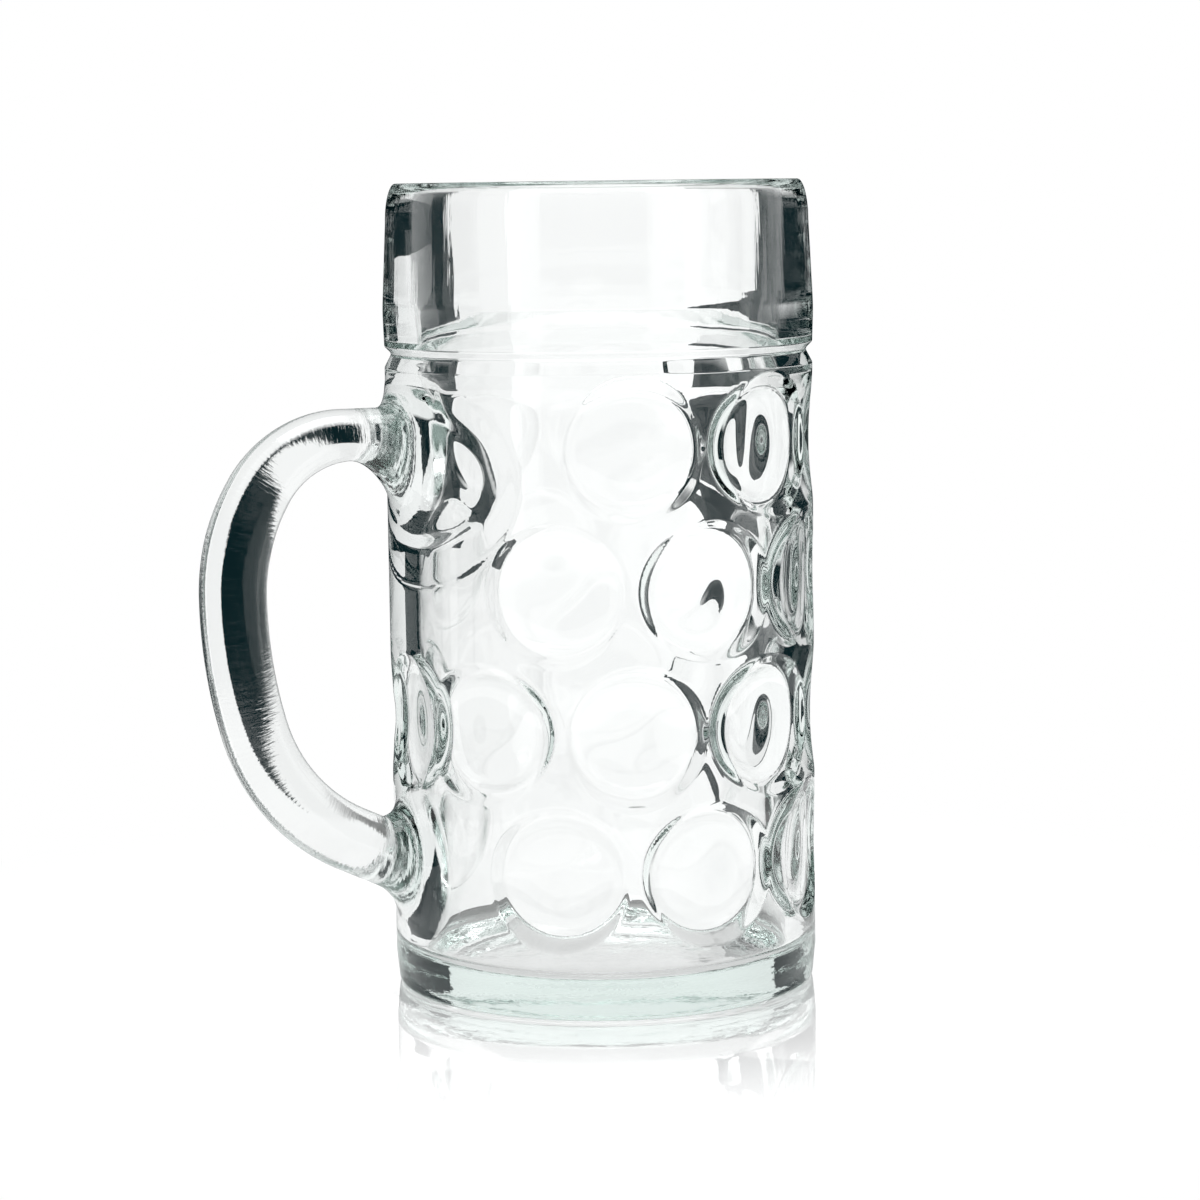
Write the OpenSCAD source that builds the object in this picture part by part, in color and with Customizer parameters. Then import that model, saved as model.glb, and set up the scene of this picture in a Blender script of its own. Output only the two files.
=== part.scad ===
// Dimpled one-litre beer mug in clear glass, with a loop handle fused to the wall at two flared roots.
// The origin is the centre of the foot on the table, +Z is up, and the handle lies along -X.

/* [Body] */
// Height from the table to the top of the lip
mug_h = 203; // [190:1:225]
// Outer radius of the dimpled wall
body_r = 54; // [50:0.5:60]
// Thickness of the wall between the dimples, just above the floor
wall_t = 7.6; // [6:0.1:9]
// Thickness of the floor of the cup
floor_t = 8; // [6:0.5:12]
// Radius where the inner wall turns into the floor
floor_fillet = 5; // [3:0.5:10]
// How much the radius of the bore opens from the floor to the lip
bore_draft = 0.8; // [0:0.1:2]

/* [Foot] */
// Height of the tapered foot
foot_h = 8; // [5:0.5:12]
// How far the foot draws in at the table
foot_inset = 0.7; // [0.2:0.1:2]
// Radius of the edge that meets the table
foot_edge_r = 1.6; // [0.8:0.1:3]
// Radius of the hollow under the foot
punt_r = 40; // [30:1:44]
// Depth of the hollow under the foot
punt_depth = 1.2; // [0.5:0.1:3]

/* [Rim band] */
// Height of the plain band, from the groove to the lip
band_h = 42.4; // [36:0.2:48]
// Depth of the groove below the band
groove_depth = 1.8; // [1:0.1:2.5]
// Height of the groove below its deepest line
groove_lower_h = 4.2; // [3:0.1:6]
// Height of the groove above its deepest line
groove_upper_h = 1.8; // [1:0.1:3]
// Height of the ridge inside the cup, where the wall follows the groove
ridge_depth = 1.5; // [0.5:0.1:2]
// Distance that the ridge takes to rise, below the groove
ridge_rise_h = 12; // [8:0.5:16]
// Distance that the ridge takes to fade, above the groove
ridge_fade_h = 12.4; // [8:0.2:16]
// How far the widest line of the band stands out from the dimpled wall
band_swell = 0.3; // [0:0.1:1]
// Height of the widest line of the band above the groove
band_belly_h = 10.7; // [7:0.1:16]
// How far the band leans in between its widest line and the lip
band_lean = 1.1; // [0.4:0.1:2.5]
// Height over which the outside of the lip rounds over
lip_round_h = 10; // [6:0.5:14]
// Distance that the outside of the lip rounds in
lip_round_w = 2.7; // [1.5:0.1:4]
// Height over which the inside of the lip rounds over
lip_inner_h = 3.2; // [2:0.1:6]

/* [Dimples] */
// Radius of a dimple, measured along the wall
dimple_r = 17.2; // [13:0.1:18]
// Depth of a dimple at its centre
dimple_depth = 2.5; // [1.5:0.1:2.6]
// Radius of the bump inside the cup behind each dimple
bump_r = 15.4; // [12:0.1:16]
// Height of the bump inside the cup behind each dimple
bump_depth = 2.4; // [1:0.1:2.5]
// Angle between the dimples of a row
dimple_pitch = 42.4; // [41:0.1:45]
// Drop from the groove to the centres of the top row
top_row_drop = 21.9; // [21.5:0.1:24]
// Distance between the rows
row_pitch = 34.6; // [33:0.1:36]
// Number of dimples in each row from the top, with the wall by the handle left plain
row_counts = [6, 7, 8, 7];

/* [Handle] */
// Height of the upper root's centre
upper_root_z = 142; // [136:0.5:148]
// Straight length of the upper leg
upper_leg = 14.5; // [10:0.5:20]
// Thickness of the upper leg
upper_leg_t = 12.8; // [10:0.1:16]
// Thickness of the grip and the lower leg
grip_t = 16.4; // [13:0.1:20]
// Width of the handle across its loop
handle_w = 16.6; // [13:0.1:20]
// Radius of the top bend
top_bend_r = 27; // [22:0.5:32]
// Radius of the bend into the grip
shoulder_bend_r = 48; // [40:0.5:56]
// Radius of the grip's long curve
grip_bend_r = 120; // [100:1:140]
// Radius of the bottom bend
bottom_bend_r = 47; // [42:0.5:52]

/* [Handle roots] */
// How far the upper root spreads down the wall
upper_down_flare = 14; // [8:0.5:18]
// How far the upper root spreads up the wall
upper_up_flare = 6; // [3:0.5:8]
// How far the upper root spreads to each side
upper_side_flare = 6; // [3:0.5:6.5]
// How far the lower root spreads down the wall
lower_down_flare = 8; // [4:0.5:10]
// How far the lower root spreads up the wall
lower_up_flare = 8; // [4:0.5:10]
// How far the lower root spreads to each side
lower_side_flare = 4.5; // [2:0.5:6]
// Distance from the wall at which a root's side spread begins
side_flare_reach = 10; // [8:0.5:14]
// Depth behind the wall's crest at which the roots stop spreading
flare_sink = 3; // [2:0.1:4]

/* [Hidden] */

$fn = 96;
glass_colour = [0.80, 0.87, 0.85, 0.5];
arc_steps = 10;

// Heights and radii of the cup
groove_z = mug_h - band_h;
shoulder_z = groove_z - groove_lower_h;
band_edge_z = groove_z + groove_upper_h;
belly_z = groove_z + band_belly_h;
belly_r = body_r + band_swell;
lip_start_z = mug_h - lip_round_h;
lip_top_r = belly_r - band_lean - lip_round_w;
foot_r = body_r - foot_inset;
bore_floor_r = body_r - wall_t;
bore_lip_r = bore_floor_r + bore_draft;
punt_sphere_r = (punt_r * punt_r + punt_depth * punt_depth) / (2 * punt_depth);
punt_angle = asin(punt_r / punt_sphere_r);

rows = [0:len(row_counts) - 1];
dish_sweep = 30;
dish_margin = 0.8;

// The handle's route runs out from the wall, round four bends and back to the wall
top_angle = 58;
shoulder_angle = 32;
grip_angle = 16;
bottom_angle = 48;
bend_radii = [top_bend_r, shoulder_bend_r, grip_bend_r, bottom_bend_r];
bend_angles = [top_angle, shoulder_angle, grip_angle, bottom_angle];
bend_steps = [12, 7, 7, 12];
leg_steps = 12;
root_embed = 7;
level_angle = -180;
thick_from_angle = 75;
handle_sides = 32;

// Radius of the plain bore at the height z
function bore_r(z) =
    bore_floor_r + bore_draft * (z - floor_t - floor_fillet) / (mug_h - lip_inner_h - floor_t - floor_fillet);

// Height of the middle of a row of dimples
function row_z(row) = groove_z - top_row_drop - row * row_pitch;

// Points of an elliptic arc about the centre c, from angle a0 to a1
function arc(c, rx, rz, a0, a1) =
    [for (i = [0:arc_steps])
        let (a = a0 + (a1 - a0) * i / arc_steps)
        [c[0] + rx * cos(a), c[1] + rz * sin(a)]];

// Profile of the cup as a solid lump, from the middle of the underside, up the outside and over the lip
outer_profile = concat(
    arc([0, punt_depth - punt_sphere_r], punt_sphere_r, punt_sphere_r, 90, 90 - punt_angle),
    arc([foot_r - foot_edge_r, foot_edge_r], foot_edge_r, foot_edge_r, -90, 0),
    [
        [body_r, foot_h],
        [body_r, shoulder_z],
        [body_r - groove_depth, groove_z],
        [body_r, band_edge_z],
        [belly_r, belly_z]
    ],
    arc([lip_top_r, lip_start_z], lip_round_w, lip_round_h, 0, 90),
    [[0, mug_h]]
);

// Profile of the hollow, from the top of the lip down to the middle of the floor
hollow_profile = concat(
    [[0, mug_h]],
    arc([lip_top_r, mug_h - lip_inner_h], lip_top_r - bore_lip_r, lip_inner_h, 90, 180),
    [
        [bore_r(groove_z + ridge_fade_h), groove_z + ridge_fade_h],
        [bore_r(groove_z) - ridge_depth, groove_z],
        [bore_r(groove_z - ridge_rise_h), groove_z - ridge_rise_h]
    ],
    arc([bore_floor_r - floor_fillet, floor_t + floor_fillet], floor_fillet, floor_fillet, 0, -90),
    [[0, floor_t]]
);

// Shallow round dish in a wall of radius wall_r on the +X side, at height 0. Its floor is a piece of a torus,
// hollow up and down and flatter than the wall across, and the two radii make it meet the wall in a circle
module dish(wall_r, r, depth) {
    hollow_r = r * r / (2 * depth);
    cross_r = 1 / (1 / wall_r - 2 * depth / (r * r));
    intersection() {
        translate([wall_r - depth - cross_r, 0, 0])
            rotate([0, 0, -dish_sweep / 2])
                rotate_extrude(angle = dish_sweep)
                    translate([cross_r + hollow_r, 0])
                        circle(r = hollow_r);
        rotate([0, 90, 0])
            cylinder(r = r + dish_margin, h = wall_r + dish_margin);
    }
}

// Copies of a dish along one row. The rows are staggered, and each is centred away from the handle
module along_row(row) {
    for (i = [0:row_counts[row] - 1])
        rotate([0, 0, (i - (row_counts[row] - 1) / 2) * dimple_pitch])
            translate([0, 0, row_z(row)])
                children();
}

// The hollow bulges in behind the dimples, so the wall stays thick there
module hollow() {
    difference() {
        rotate_extrude() polygon(hollow_profile);
        for (row = rows)
            along_row(row) dish(bore_r(row_z(row)), bump_r, bump_depth);
    }
}

module glass_body() {
    color(glass_colour)
        difference() {
            rotate_extrude() polygon(outer_profile);
            for (row = rows)
                along_row(row) dish(body_r, dimple_r, dimple_depth);
            hollow();
        }
}

// A point of the route is [distance from the axis, height, heading, tilt of its ring], angles in degrees
function bend_point(p, r, a) = [
    p[0] + r * (sin(a - p[2]) + sin(p[2])),
    p[1] - r * (cos(p[2]) - cos(a - p[2])),
    p[2] - a,
    p[2] - a
];

function bend_start(k) =
    k == 0
        ? [body_r + upper_leg, upper_root_z, 0, 0]
        : bend_point(bend_start(k - 1), bend_radii[k - 1], bend_angles[k - 1]);

// The rings of the lower leg swing upright before they reach the wall
lower_start = bend_start(len(bend_radii));
lower_leg = (body_r - root_embed - lower_start[0]) / cos(lower_start[2]);
route = concat(
    [for (i = [0:leg_steps - 1])
        [body_r - root_embed + (upper_leg + root_embed) * i / leg_steps, upper_root_z, 0, 0]],
    [for (k = [0:len(bend_radii) - 1])
        let (start = bend_start(k))
        for (i = [0:bend_steps[k] - 1])
            bend_point(start, bend_radii[k], bend_angles[k] * i / bend_steps[k])],
    [for (i = [0:leg_steps])
        let (
            s = lower_leg * i / leg_steps,
            swing = min(1, 2 * i / leg_steps)
        )
        [
            lower_start[0] + s * cos(lower_start[2]),
            lower_start[1] + s * sin(lower_start[2]),
            lower_start[2],
            lower_start[2] + (level_angle - lower_start[2]) * swing
        ]]
);

// Spread of a root near the wall: size at the wall, fading to none at reach
function flare(size, reach, gap) = size * pow(max(0, 1 - gap / reach), 2);

// One ring of the handle about a point of its route
function handle_ring(p) =
    let (
        gap = max(p[0] - body_r, -flare_sink),
        upper = p[2] > -90,
        grow = min(1, -p[2] / thick_from_angle),
        half_t = (upper_leg_t + (grip_t - upper_leg_t) * grow) / 2 / cos(p[2] - p[3]),
        outer_flare = upper ? upper_up_flare : lower_down_flare,
        inner_flare = upper ? upper_down_flare : lower_up_flare,
        side_flare = upper ? upper_side_flare : lower_side_flare,
        outside = half_t + flare(outer_flare, outer_flare, gap),
        inside = half_t + flare(inner_flare, inner_flare, gap),
        side = handle_w / 2 + flare(side_flare, side_flare_reach, gap)
    )
    [for (j = [0:handle_sides - 1])
        let (
            a = 360 * j / handle_sides,
            n = (sin(a) > 0 ? outside : inside) * sin(a)
        )
        [n * sin(p[3]) - p[0], side * cos(a), p[1] + n * cos(p[3])]];

// A closed tube through all the rings
module handle_rod() {
    rings = len(route);
    points = [for (p = route) each handle_ring(p)];
    sides = [for (i = [0:rings - 2])
        for (j = [0:handle_sides - 1])
            let (
                k = (j + 1) % handle_sides,
                a = i * handle_sides + j,
                b = i * handle_sides + k,
                c = b + handle_sides,
                d = a + handle_sides
            )
            each [[a, b, c], [a, c, d]]];
    first = [for (j = [handle_sides - 1:-1:0]) j];
    last = [for (j = [0:handle_sides - 1]) (rings - 1) * handle_sides + j];
    polyhedron(points, concat(sides, [first, last]), convexity = 6);
}

// The roots are cut to the wall's own radius, so that the handle seats on the wall face to face
module handle() {
    color(glass_colour)
        difference() {
            handle_rod();
            cylinder(r = body_r, h = 3 * mug_h, center = true);
        }
}

glass_body();
handle();
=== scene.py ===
import math

import bpy
import numpy as np
from mathutils import Matrix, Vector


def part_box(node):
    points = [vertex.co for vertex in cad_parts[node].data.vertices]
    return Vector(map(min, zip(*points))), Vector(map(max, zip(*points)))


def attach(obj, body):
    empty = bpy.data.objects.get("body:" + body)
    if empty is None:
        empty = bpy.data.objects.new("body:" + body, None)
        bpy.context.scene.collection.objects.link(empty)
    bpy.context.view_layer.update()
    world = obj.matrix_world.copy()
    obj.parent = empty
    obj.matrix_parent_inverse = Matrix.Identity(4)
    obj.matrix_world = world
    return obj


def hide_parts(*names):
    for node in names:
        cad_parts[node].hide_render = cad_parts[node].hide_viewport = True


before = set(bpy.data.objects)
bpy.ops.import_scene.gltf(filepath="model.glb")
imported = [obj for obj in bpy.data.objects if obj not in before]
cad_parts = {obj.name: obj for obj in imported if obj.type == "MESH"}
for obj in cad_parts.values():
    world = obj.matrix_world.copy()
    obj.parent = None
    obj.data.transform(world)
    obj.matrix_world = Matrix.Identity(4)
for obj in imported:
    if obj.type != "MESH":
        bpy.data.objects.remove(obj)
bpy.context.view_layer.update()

# Driving sizes of the mug in millimetres
MM = 0.001
BODY_R = 54.0
WALL_T = 7.6
FLOOR_T = 7.2
FLOOR_FILLET_W = 14.0
FLOOR_FILLET_H = 5.0
BORE_DRAFT = 0.8
FOOT_INSET = 0.7
FOOT_EDGE_R = 1.6
PUNT_R = 40.0
PUNT_DEPTH = 1.2
BAND_H = 42.4
GROOVE_DEPTH = 1.8
GROOVE_LOWER_H = 4.2
GROOVE_UPPER_H = 1.8
BAND_SWELL = 0.3
BAND_BELLY_H = 10.7
BELLY_ROUND = 60.0
BAND_LEAN = 1.1
LIP_ROUND_H = 10.0
LIP_ROUND_W = 2.7
LIP_INNER_H = 3.2
DIMPLE_R = 17.4
DIMPLE_DEPTH = 2.6
DIMPLE_POWER = 4.0
BUMP_R = 16.0
BUMP_DEPTH = 3.4
BUMP_POWER = 4.0
DIMPLE_PITCH = math.radians(42.4)
TOP_ROW_DROP = 21.9
ROW_PITCH = 34.6
ROW_COUNTS = (6, 7, 8, 7)
HANDLE_ROW = 2
HANDLE_OVAL = 0.78
UPPER_ROOT_Z = 142.0
UPPER_LEG = 14.5
UPPER_LEG_T = 12.8
GRIP_T = 16.4
HANDLE_W = 16.6
BEND_RADII = (27.0, 48.0, 120.0, 47.0)
BEND_ANGLES = (58.0, 32.0, 16.0, 48.0)
THICK_FROM_ANGLE = 75.0
ROOT_EMBED = 7.0
SIDE_FLARE_REACH = 10.0
FLARE_SINK = 2.5

# How far each root spreads, to the outside and the inside of the loop and to its sides
ROOTS = {
    "upper": {"outer": 6.0, "inner": 14.0, "side": 6.0},
    "lower": {"outer": 8.0, "inner": 8.0, "side": 4.5},
}

# Heights and radii that follow from them
MUG_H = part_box("glass_body")[1].z / MM
GROOVE_Z = MUG_H - BAND_H
SHOULDER_Z = GROOVE_Z - GROOVE_LOWER_H
BELLY_R = BODY_R + BAND_SWELL
LIP_R = BELLY_R - BAND_LEAN - LIP_ROUND_W
BORE_FLOOR_R = BODY_R - WALL_T
BORE_LIP_R = BORE_FLOOR_R + BORE_DRAFT

# Inside the wall: the ridge behind the groove, and the terraces of the swelling behind the upper root,
# each with its half width, half height, middle height, rise and slope
RIDGE_DEPTH = 1.5
RIDGE_LOW_Z = 148.0
RIDGE_MID_Z = 160.0
RIDGE_TOP_Z = 173.0
TERRACES = ((34.0, 27.0, 130.0, 0.35, 0.35), (30.0, 18.0, 131.0, 0.9, 0.24))

# Softness of the moulded edges, in millimetres
DIMPLE_EDGE = 0.15
BUMP_EDGE = 0.15
TERRACE_EDGE = 0.08
GROOVE_ROUND = 1.0
SHOULDER_ROUND = 1.6
BAND_EDGE_ROUND = 1.0
ROOT_BLEND = 4.0

# Mesh: columns round the cup, rows of each stretch of its profile, the windows where the handle grows out,
# and how the blend at a root is settled
COLUMNS = 560
PUNT_ROWS = 14
FOOT_ROWS = 6
FOOT_EDGE_ROWS = 8
FOOT_TAPER_ROWS = 8
WALL_LOW_Z = 8.4
WALL_TOP_Z = SHOULDER_Z
WALL_ROWS = 246
ROW_STEP = (WALL_TOP_Z - WALL_LOW_Z) / WALL_ROWS
CORNER_ROWS = 8
BELLY_ROWS = 12
BAND_ROWS = 10
LIP_ROWS = 18
LIP_INNER_ROWS = 14
BORE_WALL_ROWS = 215
FLOOR_FILLET_ROWS = 24
FLOOR_ROWS = 14
BORE_ROWS = BORE_WALL_ROWS + FLOOR_FILLET_ROWS + FLOOR_ROWS - 1
WINDOW_COLUMNS = 74
WINDOW_ROWS = 66
UPPER_WINDOW_ROW = WALL_ROWS - WINDOW_ROWS
LOWER_WINDOW_ROW = 9
RING_STEP = 1.2
BLEND_RINGS = 18
FIRST_RING_GAP = 3.5
SETTLE_STEPS = 12
SLOPE_STEP = 0.02
LEAST_SLOPE = 0.2

# Camera, fitted to the outline of the mug in the photograph: metres, degrees, and its lens in millimetres
CAMERA_DISTANCE = 0.847
CAMERA_HEIGHT = 0.2009
CAMERA_AZIMUTH = -25.0
CAMERA_PITCH = 7.0
CAMERA_ROLL = -0.76
CAMERA_SIDE = -0.0004
LENS = 100.3
SENSOR = 36.0


# The cup

def arc(centre, rx, rz, start, end, steps):
    """Points of an elliptic arc about centre, angles in degrees, the first point left out."""
    a = np.radians(np.linspace(start, end, steps + 1))[1:]
    return np.stack([centre[0] + rx * np.cos(a), centre[1] + rz * np.sin(a)], 1)


def line(start, end, steps):
    """Points of a straight stretch, the first point left out."""
    t = np.linspace(0, 1, steps + 1)[1:, None]
    return np.asarray(start) * (1 - t) + np.asarray(end) * t


def corner(before, at, after, radius, steps=CORNER_ROWS):
    """Points of a fillet of that radius at a corner of the profile."""
    before, at, after = (np.asarray(p, float) for p in (before, at, after))
    u = (before - at) / np.linalg.norm(before - at)
    v = (after - at) / np.linalg.norm(after - at)
    half = math.acos(np.clip(u @ v, -1, 1)) / 2
    reach = radius / math.tan(half)
    centre = at + (u + v) / np.linalg.norm(u + v) * radius / math.sin(half)
    first = at + u * reach - centre
    last = at + v * reach - centre
    turn = math.atan2(first[0] * last[1] - first[1] * last[0], first @ last)
    a = turn * np.linspace(0, 1, steps + 1)
    return np.stack([centre[0] + first[0] * np.cos(a) - first[1] * np.sin(a),
                     centre[1] + first[0] * np.sin(a) + first[1] * np.cos(a)], 1)


def cup_profile():
    """Rows of the cup as (radius, height), from under the foot round to the floor, and the first wall row."""
    punt_r = np.linspace(0, PUNT_R, PUNT_ROWS + 1)[1:]
    punt = np.stack([punt_r, PUNT_DEPTH * (1 - (punt_r / PUNT_R) ** 2)], 1)
    foot_r = BODY_R - FOOT_INSET
    foot = np.vstack([
        line((PUNT_R, 0), (foot_r - FOOT_EDGE_R, 0), FOOT_ROWS),
        arc((foot_r - FOOT_EDGE_R, FOOT_EDGE_R), FOOT_EDGE_R, FOOT_EDGE_R, -90, 0, FOOT_EDGE_ROWS),
        line((foot_r, FOOT_EDGE_R), (BODY_R, WALL_LOW_Z), FOOT_TAPER_ROWS)[:-1],
    ])
    wall = line((BODY_R, WALL_LOW_Z - ROW_STEP), (BODY_R, WALL_TOP_Z), WALL_ROWS + 1)
    shoulder = (BODY_R, SHOULDER_Z + SHOULDER_ROUND / 2)
    groove = (BODY_R - GROOVE_DEPTH, GROOVE_Z)
    edge = (BODY_R, GROOVE_Z + GROOVE_UPPER_H)
    belly = (BELLY_R, GROOVE_Z + BAND_BELLY_H)
    lip_start = (BELLY_R - BAND_LEAN, MUG_H - LIP_ROUND_H)
    band = np.vstack([
        corner(wall[-1], shoulder, groove, SHOULDER_ROUND),
        corner(shoulder, groove, edge, GROOVE_ROUND),
        corner(groove, edge, belly, BAND_EDGE_ROUND),
        corner(edge, belly, lip_start, BELLY_ROUND, BELLY_ROWS),
    ])
    band = np.vstack([band, line(band[-1], lip_start, BAND_ROWS)])
    lip = np.vstack([
        arc((LIP_R, MUG_H - LIP_ROUND_H), LIP_ROUND_W, LIP_ROUND_H, 0, 90, LIP_ROWS),
        arc((LIP_R, MUG_H - LIP_INNER_H), LIP_R - BORE_LIP_R, LIP_INNER_H, 90, 180, LIP_INNER_ROWS),
    ])
    fillet_top = (BORE_FLOOR_R, FLOOR_T + FLOOR_FILLET_H)
    fillet_in = (BORE_FLOOR_R - FLOOR_FILLET_W, FLOOR_T)
    bore = np.vstack([
        line(lip[-1], fillet_top, BORE_WALL_ROWS),
        arc((fillet_in[0], fillet_top[1]), FLOOR_FILLET_W, FLOOR_FILLET_H, 0, -90, FLOOR_FILLET_ROWS),
        line(fillet_in, (0, FLOOR_T), FLOOR_ROWS)[:-1],
    ])
    first_wall_row = len(punt) + len(foot)
    return np.vstack([punt, foot, wall, band, lip, bore]), first_wall_row


def dimple_places():
    """Row, angle and narrowing of each dimple: four rows, and an oval one under the handle's loop."""
    places = [(row, (i - (count - 1) / 2) * DIMPLE_PITCH, 1.0)
              for row, count in enumerate(ROW_COUNTS) for i in range(count)]
    return places + [(HANDLE_ROW, math.pi, HANDLE_OVAL)]


def dimple_sinkage(theta, z, wall_r=BODY_R, dish_r=DIMPLE_R, centre_depth=DIMPLE_DEPTH, edge=DIMPLE_EDGE,
                   power=DIMPLE_POWER):
    """Depth of the dimples below the plain wall, softened at their edges."""
    depth = np.zeros(np.broadcast(theta, z).shape)
    for row, angle, narrowing in dimple_places():
        height = z - (GROOVE_Z - TOP_ROW_DROP - row * ROW_PITCH)
        turn = theta - angle
        across = wall_r * np.arctan2(np.sin(turn), np.cos(turn)) / narrowing
        dish = centre_depth * (1 - ((across ** 2 + height ** 2) / dish_r ** 2) ** (power / 2))
        soft = (dish + np.sqrt(dish ** 2 + edge ** 2)) / 2
        depth = np.maximum(depth, np.where(dish > -centre_depth, soft, 0))
    return depth


def root_swell(theta, z):
    """Height of the swelling inside the wall behind the upper root."""
    across = BORE_FLOOR_R * np.arctan2(np.sin(theta - math.pi), np.cos(theta - math.pi))
    total = 0
    for half_w, half_h, middle, rise, slope in TERRACES:
        bank = slope * half_h * (1 - np.hypot(across / half_w, (z - middle) / half_h))
        flat = (bank + rise - np.sqrt((bank - rise) ** 2 + TERRACE_EDGE ** 2)) / 2
        soft = (flat + np.sqrt(flat ** 2 + TERRACE_EDGE ** 2)) / 2
        total = total + np.where(bank > -rise, soft, 0)
    return total


def groove_ridge(z):
    """Height of the ridge inside the wall that follows the groove outside."""
    rise = np.clip((z - RIDGE_LOW_Z) / (RIDGE_MID_Z - RIDGE_LOW_Z), 0, 1)
    fall = np.clip((RIDGE_TOP_Z - z) / (RIDGE_TOP_Z - RIDGE_MID_Z), 0, 1)
    return RIDGE_DEPTH * rise ** 2 * (3 - 2 * rise) * fall


def cup_grid():
    """Vertices of the cup, one row of the profile after another, and the first wall row."""
    profile, first_wall_row = cup_profile()
    theta = 2 * math.pi * np.arange(COLUMNS) / COLUMNS
    r = np.repeat(profile[:, :1], COLUMNS, 1)
    z = np.repeat(profile[:, 1:], COLUMNS, 1)
    wall = slice(first_wall_row, first_wall_row + WALL_ROWS + 1)
    r[wall] -= dimple_sinkage(theta[None, :], z[wall])
    bore = slice(len(profile) - BORE_ROWS, None)
    bumps = dimple_sinkage(theta[None, :], z[bore], BORE_FLOOR_R, BUMP_R, BUMP_DEPTH, BUMP_EDGE, BUMP_POWER)
    r[bore] -= np.maximum(np.maximum(bumps, root_swell(theta[None, :], z[bore])), groove_ridge(z[bore]))
    return np.stack([r * np.cos(theta), r * np.sin(theta), z], 2), first_wall_row


# The handle

def flare(size, reach, gap):
    """Spread of a root near the wall: size at the wall, fading to none at reach."""
    return size * np.maximum(0, 1 - np.maximum(gap, -FLARE_SINK) / reach) ** 2


def bend_point(p, radius, angle):
    """The point of the route after a bend from the point p = (distance from the axis, height, heading)."""
    x, z, heading = p
    h = math.radians(heading)
    a = math.radians(angle)
    return (x + radius * (math.sin(a - h) + math.sin(h)),
            z - radius * (math.cos(h) - math.cos(a - h)),
            heading - angle)


def handle_route():
    """Points of the handle's middle line as (distance, height, heading, tilt of the ring)."""
    start = (BODY_R + UPPER_LEG, UPPER_ROOT_Z, 0.0)
    first = BODY_R + FIRST_RING_GAP
    route = [(x, UPPER_ROOT_Z, 0.0, 0.0) for x in np.arange(first, start[0], RING_STEP)]
    for radius, angle in zip(BEND_RADII, BEND_ANGLES):
        steps = round(radius * math.radians(angle) / RING_STEP)
        bend = [bend_point(start, radius, angle * i / steps) for i in range(steps)]
        route += [(x, z, heading, heading) for x, z, heading in bend]
        start = bend_point(start, radius, angle)
    heading = math.radians(start[2])
    swing_run = (BODY_R - ROOT_EMBED - start[0]) / math.cos(heading) / 2
    leg = (first - start[0]) / math.cos(heading)
    steps = round(leg / RING_STEP)
    for i in range(steps + 1):
        s = leg * i / steps
        swing = min(1.0, s / swing_run)
        swing = swing * swing * (3 - 2 * swing)
        route.append((start[0] + s * math.cos(heading), start[1] + s * math.sin(heading),
                      start[2], start[2] + (-180 - start[2]) * swing))
    return route


def half_sizes(gap, heading, tilt):
    """Half thickness to the outside and the inside of the loop, and half width, of one ring."""
    root = ROOTS["upper" if heading > -90 else "lower"]
    grow = min(1.0, -heading / THICK_FROM_ANGLE)
    half_t = (UPPER_LEG_T + (GRIP_T - UPPER_LEG_T) * grow) / 2 / math.cos(math.radians(heading - tilt))
    return (half_t + flare(root["outer"], root["outer"], gap),
            half_t + flare(root["inner"], root["inner"], gap),
            HANDLE_W / 2 + flare(root["side"], SIDE_FLARE_REACH, gap))


def handle_rings(angles):
    """Rings of the handle outside the blends, each a row of points at those angles round the rod."""
    rings = []
    for x, z, heading, tilt in handle_route():
        outside, inside, side = half_sizes(x - BODY_R, heading, tilt)
        n = np.where(np.sin(angles) > 0, outside, inside) * np.sin(angles)
        t = math.radians(tilt)
        rings.append(np.stack([n * math.sin(t) - x, side * np.cos(angles), z + n * math.cos(t)], 1))
    return np.array(rings)


def root_distance(points, root):
    """Rough distance of points from the cup and one leg of the handle, blended where they meet."""
    x, y, z = points[..., 0], points[..., 1], points[..., 2]
    r = np.hypot(x, y)
    wall = r - BODY_R + dimple_sinkage(np.arctan2(y, x), z)
    gap = -x - BODY_R
    if root == "upper":
        outside, inside, side = half_sizes(gap, 0.0, 0.0)
        n = z - UPPER_ROOT_Z
    else:
        end_x, end_z, heading, tilt = handle_route()[-1]
        outside, inside, side = half_sizes(gap, heading, tilt)
        n = end_z + (-x - end_x) * math.tan(math.radians(heading)) - z
    half = np.where(n > 0, outside, inside)
    around = np.hypot(y / side, n / half)
    leg = (around - 1) * np.sqrt(side * half)
    near = np.maximum(ROOT_BLEND - np.abs(wall - leg), 0) / ROOT_BLEND
    return np.minimum(wall, leg) - near ** 2 * ROOT_BLEND / 4


def settle(points, root):
    """Moves points on to the blended surface of the cup and the leg, along its slope."""
    for _ in range(SETTLE_STEPS):
        value = root_distance(points, root)
        slopes = []
        for step in SLOPE_STEP * np.eye(3):
            rise = root_distance(points + step, root) - root_distance(points - step, root)
            slopes.append(rise / (2 * SLOPE_STEP))
        slope = np.stack(slopes, -1)
        points = points - (value / np.maximum((slope ** 2).sum(-1), LEAST_SLOPE))[..., None] * slope
    return points


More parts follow.
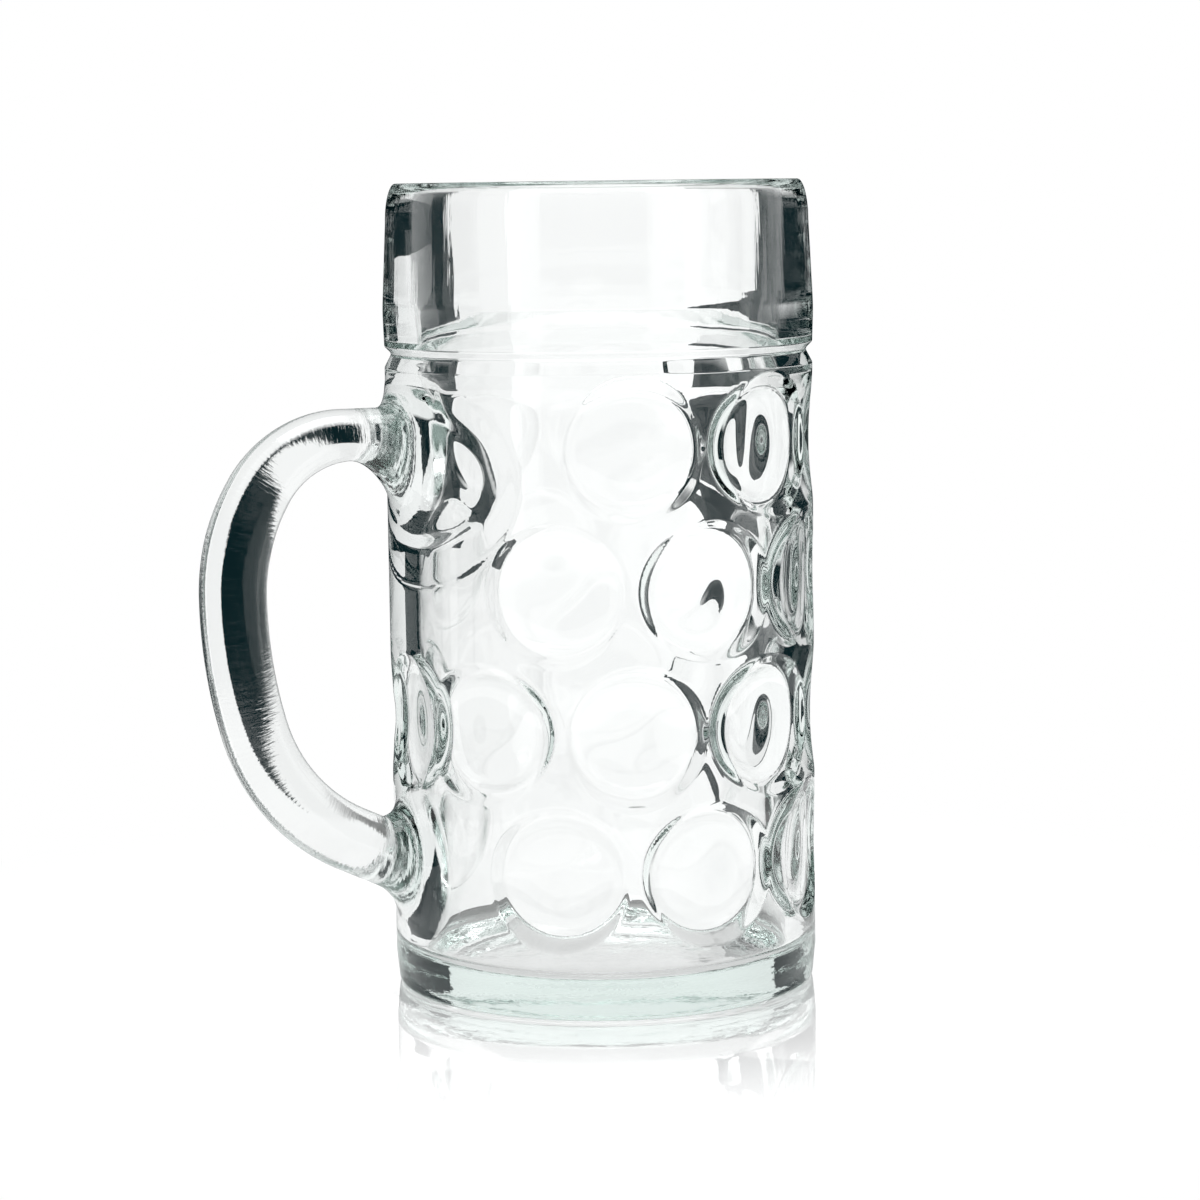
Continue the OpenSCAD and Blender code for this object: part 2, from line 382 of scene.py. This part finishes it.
def window_loop(first_row, upward):
    """Grid places (row, column) round a window, from its +Y side, going up or down first."""
    middle = COLUMNS // 2
    near = middle - WINDOW_COLUMNS // 2
    far = middle + WINDOW_COLUMNS // 2
    rows = np.arange(WINDOW_ROWS) + first_row
    half = WINDOW_ROWS // 2
    top = first_row + WINDOW_ROWS
    columns = np.arange(WINDOW_COLUMNS)
    loop = [(i, near) for i in rows[half:]]
    loop += [(top, near + c) for c in columns]
    loop += [(top - i, far) for i in range(WINDOW_ROWS)]
    loop += [(first_row, far - c) for c in columns]
    loop += [(i, near) for i in rows[:half]]
    if upward:
        return loop
    return [loop[0]] + loop[:0:-1]


def tube_faces(rings):
    """Quads between rings of vertex numbers that run round and close."""
    after = np.roll(rings, -1, 1)
    return np.stack([rings[:-1], rings[1:], after[1:], after[:-1]], 2).reshape(-1, 4)


def rod_coordinates(tube, angles):
    """For the points of the handle: the way along and round the rod, and the share of it that isn't blend."""
    steps = np.linalg.norm(np.diff(tube.mean(1), axis=0), axis=1)
    along = np.concatenate([[0], np.cumsum(steps)])[:, None]
    across = HANDLE_W / 2 * np.cos(angles)
    upward = HANDLE_W / 2 * np.sin(angles)
    place = np.stack(np.broadcast_arrays(along, across, upward), 2).reshape(-1, 3)
    grow = np.arange(1, BLEND_RINGS) / BLEND_RINGS
    rod_rings = len(tube) - 2 * len(grow)
    share = np.concatenate([grow, np.ones(rod_rings), grow[::-1]])
    return place, np.repeat(share, len(angles))


def mug_mesh():
    """One closed skin of the cup and its handle, with the handle grown out of two windows in the wall."""
    grid, first_wall_row = cup_grid()
    rows = len(grid)
    number = np.arange(rows * COLUMNS).reshape(rows, COLUMNS)
    keep = np.ones((rows - 1, COLUMNS), bool)
    middle = COLUMNS // 2
    across = slice(middle - WINDOW_COLUMNS // 2, middle + WINDOW_COLUMNS // 2)
    loops = []
    for window_row, upward in ((UPPER_WINDOW_ROW, True), (LOWER_WINDOW_ROW, False)):
        first = first_wall_row + window_row
        keep[first:first + WINDOW_ROWS, across] = False
        loops.append(np.array([number[i, j] for i, j in window_loop(first, upward)]))
    after = np.roll(number, -1, 1)
    cup = np.stack([number[:-1], after[:-1], after[1:], number[1:]], 2)[keep]
    points = grid.reshape(-1, 3)

    sides = len(loops[0])
    angles = 2 * math.pi * np.arange(sides) / sides
    rod = handle_rings(angles)
    t = (np.arange(1, BLEND_RINGS) / BLEND_RINGS)[:, None, None]
    upper = settle(points[loops[0]] * (1 - t) + rod[0] * t, "upper")
    lower = settle(rod[-1] * (1 - t) + points[loops[1]] * t, "lower")
    tube = np.concatenate([upper, rod, lower])
    tube_number = len(points) + np.arange(tube.shape[0] * sides).reshape(-1, sides)
    rings = np.vstack([loops[0], tube_number, loops[1]])
    on_tube = slice(len(points), len(points) + tube_number.size)
    points = np.vstack([points, tube.reshape(-1, 3), [(0, 0, PUNT_DEPTH), (0, 0, FLOOR_T)]])
    rod_place = np.zeros((len(points), 3))
    rod_share = np.zeros(len(points))
    rod_place[on_tube], rod_share[on_tube] = rod_coordinates(tube, angles)

    under = len(points) - 2
    floor = len(points) - 1
    fans = [(under, after[0, j], number[0, j]) for j in range(COLUMNS)]
    fans += [(floor, number[-1, j], after[-1, j]) for j in range(COLUMNS)]
    quads = np.vstack([cup, tube_faces(rings)])
    used = np.zeros(len(points), bool)
    used[quads.ravel()] = True
    used[[under, floor]] = True
    place = np.cumsum(used) - 1
    faces = place[quads].tolist() + [[int(place[v]) for v in fan] for fan in fans]
    mesh = bpy.data.meshes.new("mug_glass")
    mesh.from_pydata((points[used] * MM).tolist(), [], faces)
    mesh.polygons.foreach_set("use_smooth", np.ones(len(mesh.polygons), bool))
    rod_places = mesh.attributes.new("rod_place", "FLOAT_VECTOR", "POINT")
    rod_places.data.foreach_set("vector", rod_place[used].ravel() * MM)
    rod_shares = mesh.attributes.new("rod_share", "FLOAT", "POINT")
    rod_shares.data.foreach_set("value", rod_share[used])
    mesh.update()
    return mesh


# Materials

WHITE = (1, 1, 1, 1)

# The glass: its tint, its ripples, and the marks of the mould on the handle, the band and the foot, each with
# its fineness along three axes, per metre, and its height in metres
GLASS_IOR = 1.5
TINT = (0.45, 0.63, 0.575, 1)
TINT_DENSITY = 6.0
RIPPLE_SCALE = 55.0
RIPPLE_DETAIL = 2.0
RIPPLE_STRENGTH = 0.06
RIPPLE_HEIGHT = 0.001
MARK_DETAIL = 3.0
ROD_MARKS = (1500.0, 250.0, 250.0)
ROD_MARK_HEIGHT = 0.00006
BAND_MARKS = (400.0, 400.0, 14.0)
BAND_MARK_HEIGHT = 0.00003
FOOT_MARKS = (150.0, 150.0, 200.0)
FOOT_MARK_HEIGHT = 0.00012
FOOT_MARKS_END = 0.014
FOOT_MARKS_FULL = 0.008


def node_tree(owner):
    """An empty node tree of a material or world, with its output."""
    owner.use_nodes = True
    tree = owner.node_tree
    tree.nodes.clear()
    kind = "ShaderNodeOutputWorld" if isinstance(owner, bpy.types.World) else "ShaderNodeOutputMaterial"
    return tree, tree.nodes.new(kind)


def add(tree, kind, **values):
    """A new node with those properties and input values."""
    node = tree.nodes.new("ShaderNode" + kind)
    for key, value in values.items():
        if hasattr(node, key):
            setattr(node, key, value)
        else:
            node.inputs[key.replace("_", " ")].default_value = value
    return node


def combine(tree, operation, first, second):
    """The result of a sum with two sockets."""
    node = add(tree, "Math", operation=operation)
    tree.links.new(first, node.inputs[0])
    tree.links.new(second, node.inputs[1])
    return node.outputs[0]


def ramp(tree, value, start, end, low=0.0, high=1.0, interpolation="LINEAR"):
    """A socket that goes from low to high while the value goes from start to end."""
    node = add(tree, "MapRange", interpolation_type=interpolation,
               From_Min=start, From_Max=end, To_Min=low, To_Max=high)
    tree.links.new(value, node.inputs["Value"])
    return node.outputs[0]


def mix(tree, share, first, second):
    """A mix of two shaders, with that share of the second."""
    node = add(tree, "MixShader")
    tree.links.new(share, node.inputs[0])
    tree.links.new(first, node.inputs[1])
    tree.links.new(second, node.inputs[2])
    return node.outputs[0]


def marks(tree, place, fineness, share, height, normal):
    """The normal with uneven marks added to it where share is above none."""
    finer = add(tree, "Mapping", Scale=fineness)
    tree.links.new(place, finer.inputs["Vector"])
    noise = add(tree, "TexNoise", Scale=1.0, Detail=MARK_DETAIL)
    tree.links.new(finer.outputs[0], noise.inputs["Vector"])
    bump = add(tree, "Bump", Strength=1.0, Distance=height)
    tree.links.new(combine(tree, "MULTIPLY", noise.outputs["Fac"], share), bump.inputs["Height"])
    tree.links.new(normal, bump.inputs["Normal"])
    return bump.outputs["Normal"]


def glass_material():
    """Clear pressed glass, with ripples and marks, and a green tint that builds up in thick sections."""
    material = bpy.data.materials.new("clear_glass")
    tree, output = node_tree(material)
    place = add(tree, "TexCoord").outputs["Object"]
    ripple = add(tree, "TexNoise", Scale=RIPPLE_SCALE, Detail=RIPPLE_DETAIL)
    tree.links.new(place, ripple.inputs["Vector"])
    bump = add(tree, "Bump", Strength=RIPPLE_STRENGTH, Distance=RIPPLE_HEIGHT)
    tree.links.new(ripple.outputs["Fac"], bump.inputs["Height"])

    rod = add(tree, "Attribute", attribute_name="rod_place").outputs["Vector"]
    on_rod = add(tree, "Attribute", attribute_name="rod_share").outputs["Fac"]
    split = add(tree, "SeparateXYZ")
    tree.links.new(place, split.inputs[0])
    height = split.outputs["Z"]
    on_band = ramp(tree, height, GROOVE_Z * MM, (GROOVE_Z + BAND_BELLY_H) * MM)
    on_foot = ramp(tree, height, FOOT_MARKS_END, FOOT_MARKS_FULL)
    normal = marks(tree, rod, ROD_MARKS, on_rod, ROD_MARK_HEIGHT, bump.outputs["Normal"])
    normal = marks(tree, place, BAND_MARKS, on_band, BAND_MARK_HEIGHT, normal)
    normal = marks(tree, place, FOOT_MARKS, on_foot, FOOT_MARK_HEIGHT, normal)

    glass = add(tree, "BsdfPrincipled", Base_Color=WHITE, Roughness=0.0, IOR=GLASS_IOR,
                Transmission_Weight=1.0)
    tree.links.new(normal, glass.inputs["Normal"])
    tint = add(tree, "VolumeAbsorption", Color=TINT, Density=TINT_DENSITY)
    tree.links.new(glass.outputs[0], output.inputs["Surface"])
    tree.links.new(tint.outputs[0], output.inputs["Volume"])
    return material


def build_mug():
    mug = bpy.data.objects.new("mug_glass", mug_mesh())
    bpy.context.scene.collection.objects.link(mug)
    mug.data.materials.append(glass_material())
    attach(mug, "root")
    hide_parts("glass_body", "handle")


# The studio, in metres and degrees

DARK = (0.004, 0.015, 0.018, 1)

# The table, whose shine fades away from the mug, and which turns to plain white further out
FLOOR_R = 0.30
FLOOR_SIDES = 96
FLOOR_GAP = 0.0003
TABLE_COLOUR = (0.85, 0.85, 0.85, 1)
TABLE_ROUGHNESS = 0.03
FLOOR_LIFT = 0.55
SHINE = 0.6
SHINE_NEAR = 0.05
SHINE_FAR = 0.17
WHITE_NEAR = 0.13
WHITE_FAR = 0.24

# How bright the table is as seen through the glass, all of it painted as glow: under the foot a painted light
# that stands in for the light the glass lets through, round it a dim ring of painted shadow, and away from it
# plain white, and the radii where these change
THROUGH_PAINTED_LIGHT_UNDER = 0.68
THROUGH_PAINTED_SHADOW = 0.2
THROUGH_AWAY = 0.95
UNDER_R = 0.050
ROUND_R = 0.056
ROUND_END_R = 0.08
AWAY_R = 0.115

# The panels behind the mug, one for each side that it is looked at from: the edges are (place, height)
PANEL_DISTANCE = 0.142
PANEL_HEIGHT = 0.34
PANEL_FOOT = 0.058
PANEL_GLOW = 1.13
PANEL_MIDDLE = 0.16
PANEL_REACH = 0.22
PANEL_EVEN = 0.5
PANEL_EDGE = 0.88
MAIN_LEFT = -0.064
MAIN_EDGE = (
    (0.052, 0.0), (0.050, 0.090), (0.038, 0.115), (0.036, 0.150), (0.075, 0.156), (0.075, PANEL_HEIGHT),
)
SIDE_AZIMUTH = 90.0
SIDE_LEFT = -0.07
SIDE_EDGE = ((0.048, 0.0), (0.048, PANEL_HEIGHT))
BACK_AZIMUTH = 225.0
BACK_LEFT = -0.07
BACK_EDGE = ((0.07, 0.0), (0.07, PANEL_HEIGHT))

# Small cards: their ends on the table, the heights of their lower corners, and their top
CARD_GLOW = 1.0
WALL_CARD_ENDS = ((-0.060, 0.066), (0.004, 0.074))
WALL_CARD_LOWS = (0.0, 0.0)
WALL_CARD_TOP = 0.105
GAP_CARD_ENDS = ((-0.017, 0.0720), (0.004, 0.0745))
GAP_CARD_LOWS = (WALL_CARD_TOP, WALL_CARD_TOP)
GAP_CARD_TOP = 0.215
HANDLE_CARD_ENDS = ((-0.128, 0.068), (-0.052, 0.068))
HANDLE_CARD_LOWS = (0.165, 0.119)
HANDLE_CARD_TOP = 0.178

# The white ring high round the mug, the slopes of the light that the table and its shine take, and the lamp
CANOPY_R = 0.4
CANOPY_SIDES = 48
CANOPY_LOW = 0.195
CANOPY_HIGH = 0.7
CANOPY_GLOW = 0.9
TABLE_DROP_FAR = -0.24
TABLE_DROP_NEAR = -0.34
LEAST_RISE = 0.02
LAMP_HEIGHT = 1.2
LAMP_SIZE = 0.9
LAMP_POWER = 9.0

# How often light may pass through glass or be mirrored
GLASS_BOUNCES = 24
GLOSSY_BOUNCES = 12


def stage_object(name, points, faces, material, hidden_from=()):
    """A piece of the studio, left out of those kinds of ray."""
    mesh = bpy.data.meshes.new(name)
    mesh.from_pydata(points, [], faces)
    mesh.materials.append(material)
    thing = bpy.data.objects.new(name, mesh)
    bpy.context.scene.collection.objects.link(thing)
    for kind in hidden_from:
        setattr(thing, "visible_" + kind, False)
    return thing


def circle(radius, z, sides):
    """Points of a level circle about the mug's axis."""
    turns = [2 * math.pi * i / sides for i in range(sides)]
    return [(radius * math.cos(turn), radius * math.sin(turn), z) for turn in turns]


def floor_material():
    """White polished table top, whose shine fades away from the mug. Through the glass it shows a painted
    light under the foot and a painted shadow ring round it.
    """
    material = bpy.data.materials.new("table_white")
    tree, output = node_tree(material)
    place = add(tree, "NewGeometry")
    length = add(tree, "VectorMath", operation="LENGTH")
    tree.links.new(place.outputs["Position"], length.inputs[0])
    far = length.outputs["Value"]
    seen = add(tree, "LightPath")
    direct = seen.outputs["Is Camera Ray"]

    matt = add(tree, "BsdfDiffuse", Color=TABLE_COLOUR)
    lift = add(tree, "Emission", Color=WHITE)
    tree.links.new(ramp(tree, direct, 0.0, 1.0, 0.0, FLOOR_LIFT), lift.inputs["Strength"])
    lit = add(tree, "AddShader")
    tree.links.new(matt.outputs[0], lit.inputs[0])
    tree.links.new(lift.outputs[0], lit.inputs[1])
    white = add(tree, "Emission", Color=WHITE, Strength=1.0)
    away = ramp(tree, far, WHITE_NEAR, WHITE_FAR, interpolation="SMOOTHSTEP")
    base = mix(tree, away, lit.outputs[0], white.outputs[0])

    # Painted light and shade for rays through the glass: a glow under the foot, a dim ring of painted shadow
    # round it, then white further out
    painted_light_and_shadow_by_foot = ramp(tree, far, UNDER_R, ROUND_R, THROUGH_PAINTED_LIGHT_UNDER, THROUGH_PAINTED_SHADOW)
    painted_shadow_to_open_table = ramp(tree, far, ROUND_END_R, AWAY_R, THROUGH_PAINTED_SHADOW, THROUGH_AWAY)
    through = add(tree, "Emission", Color=WHITE)
    tree.links.new(combine(tree, "MAXIMUM", painted_light_and_shadow_by_foot, painted_shadow_to_open_table), through.inputs["Strength"])
    sight = mix(tree, seen.outputs["Is Transmission Ray"], base, through.outputs[0])

    gloss = add(tree, "BsdfAnisotropic", Color=WHITE, Roughness=TABLE_ROUGHNESS)
    fade = ramp(tree, far, SHINE_NEAR, SHINE_FAR, SHINE, 0.0, "SMOOTHSTEP")
    shine = combine(tree, "MULTIPLY", fade, direct)
    tree.links.new(mix(tree, shine, sight, gloss.outputs[0]), output.inputs["Surface"])
    return material


def build_floor():
    ring = circle(FLOOR_R, -FLOOR_GAP, FLOOR_SIDES)
    stage_object("table_top", ring, [list(range(FLOOR_SIDES))], floor_material())


def panel_material(name, strength, half_w=None):
    """White light, and on a panel of that half width one that falls off towards its edges."""
    material = bpy.data.materials.new(name)
    tree, output = node_tree(material)
    glow = add(tree, "Emission", Color=WHITE, Strength=strength)
    tree.links.new(glow.outputs[0], output.inputs["Surface"])
    if half_w:
        place = add(tree, "TexCoord")
        share = add(tree, "Mapping", Location=(0, 0, -PANEL_MIDDLE / PANEL_REACH),
                    Scale=(1 / half_w, 0, 1 / PANEL_REACH))
        tree.links.new(place.outputs["Object"], share.inputs["Vector"])
        out = add(tree, "VectorMath", operation="LENGTH")
        tree.links.new(share.outputs[0], out.inputs[0])
        fall = ramp(tree, out.outputs["Value"], PANEL_EVEN, 1.0, strength, strength * PANEL_EDGE)
        tree.links.new(fall, glow.inputs["Strength"])
    return material


def build_panel(name, azimuth, left, edge):
    """A white panel standing on a foot behind the mug, seen from a camera at that azimuth.

    Its left edge is upright, and its right edge runs through the points of edge.
    """
    right = max(x for x, z in edge)
    middle = (left + right) / 2
    left_side = [(left - middle, 0, z) for x, z in edge]
    right_side = [(x - middle, 0, z) for x, z in edge]
    foot = [(x - middle, PANEL_FOOT - PANEL_DISTANCE, 0) for x in (left, edge[0][0])]
    count = len(edge)
    faces = [[i, count + i, count + i + 1, i + 1] for i in range(count - 1)]
    faces.append([2 * count, 2 * count + 1, count, 0])
    panel = stage_object(name, left_side + right_side + foot, faces,
                         panel_material(name, PANEL_GLOW, right - middle), ("camera", "glossy"))
    turn = Matrix.Rotation(math.radians(azimuth), 4, "Z")
    panel.matrix_world = turn @ Matrix.Translation((middle, PANEL_DISTANCE, 0))


def build_card(name, ends, lows, top):
    """A small upright white card between two places on the table."""
    lower = [(x, y, z) for (x, y), z in zip(ends, lows)]
    upper = [(x, y, top) for x, y in ends]
    stage_object(name, lower + upper, [[0, 1, 3, 2]], panel_material(name, CARD_GLOW),
                 ("camera", "glossy", "shadow"))


def build_canopy():
    """The white ring high round the mug, which shows in the upper bend of the handle."""
    lower = circle(CANOPY_R, CANOPY_LOW, CANOPY_SIDES)
    upper = circle(CANOPY_R, CANOPY_HIGH, CANOPY_SIDES)
    faces = []
    for i in range(CANOPY_SIDES):
        after = (i + 1) % CANOPY_SIDES
        faces.append([i, after, CANOPY_SIDES + after, CANOPY_SIDES + i])
    stage_object("canopy", lower + upper, faces, panel_material("canopy", CANOPY_GLOW),
                 ("camera", "glossy", "diffuse", "shadow"))


def build_world():
    """White for the camera, in the table's shine and steeply down, and dark elsewhere through the glass."""
    world = bpy.data.worlds.new("studio")
    bpy.context.scene.world = world
    tree, output = node_tree(world)
    seen = add(tree, "LightPath")
    way = add(tree, "TexCoord")
    split = add(tree, "SeparateXYZ")
    tree.links.new(way.outputs["Generated"], split.inputs[0])
    rise = split.outputs["Z"]
    upward = add(tree, "Math", operation="GREATER_THAN")
    upward.inputs[1].default_value = LEAST_RISE
    tree.links.new(rise, upward.inputs[0])
    spread = combine(tree, "SUBTRACT", seen.outputs["Is Glossy Ray"], seen.outputs["Is Singular Ray"])
    shine = combine(tree, "MULTIPLY", upward.outputs[0], spread)
    bright = combine(tree, "MAXIMUM", shine, seen.outputs["Is Camera Ray"])
    downward = ramp(tree, rise, TABLE_DROP_FAR, TABLE_DROP_NEAR, 0.0, THROUGH_AWAY)
    table = combine(tree, "MULTIPLY", downward, seen.outputs["Is Transmission Ray"])
    white = add(tree, "Background", Color=WHITE, Strength=1.0)
    dark = add(tree, "Background", Color=DARK, Strength=1.0)
    sky = mix(tree, combine(tree, "MAXIMUM", bright, table), dark.outputs[0], white.outputs[0])
    tree.links.new(sky, output.inputs["Surface"])


def build_lamp():
    """A soft square lamp overhead, pointing straight down."""
    light = bpy.data.lights.new("overhead", "AREA")
    light.shape = "SQUARE"
    light.size = LAMP_SIZE
    light.energy = LAMP_POWER
    lamp = bpy.data.objects.new("overhead", light)
    lamp.location = (0, 0, LAMP_HEIGHT)
    bpy.context.scene.collection.objects.link(lamp)


def build_studio():
    build_floor()
    build_world()
    build_canopy()
    build_card("wall_card", WALL_CARD_ENDS, WALL_CARD_LOWS, WALL_CARD_TOP)
    build_card("gap_card", GAP_CARD_ENDS, GAP_CARD_LOWS, GAP_CARD_TOP)
    build_card("handle_card", HANDLE_CARD_ENDS, HANDLE_CARD_LOWS, HANDLE_CARD_TOP)
    build_panel("panel_main", CAMERA_AZIMUTH, MAIN_LEFT, MAIN_EDGE)
    build_panel("panel_side", SIDE_AZIMUTH, SIDE_LEFT, SIDE_EDGE)
    build_panel("panel_back", BACK_AZIMUTH, BACK_LEFT, BACK_EDGE)
    build_lamp()


def build_camera():
    data = bpy.data.cameras.new("camera")
    data.lens = LENS
    data.sensor_width = SENSOR
    camera = bpy.data.objects.new("camera", data)
    bpy.context.scene.collection.objects.link(camera)
    turn = Matrix.Rotation(math.radians(CAMERA_AZIMUTH), 4, "Z")
    place = Matrix.Translation((CAMERA_SIDE, -CAMERA_DISTANCE, CAMERA_HEIGHT))
    look = Matrix.Rotation(math.radians(90 - CAMERA_PITCH), 4, "X")
    roll = Matrix.Rotation(math.radians(CAMERA_ROLL), 4, "Z")
    camera.matrix_world = turn @ place @ look @ roll
    bpy.context.scene.camera = camera


def main():
    scene = bpy.context.scene
    scene.view_settings.view_transform = "Standard"
    scene.cycles.max_bounces = GLASS_BOUNCES
    scene.cycles.transmission_bounces = GLASS_BOUNCES
    scene.cycles.glossy_bounces = GLOSSY_BOUNCES
    build_mug()
    build_studio()
    build_camera()


main()
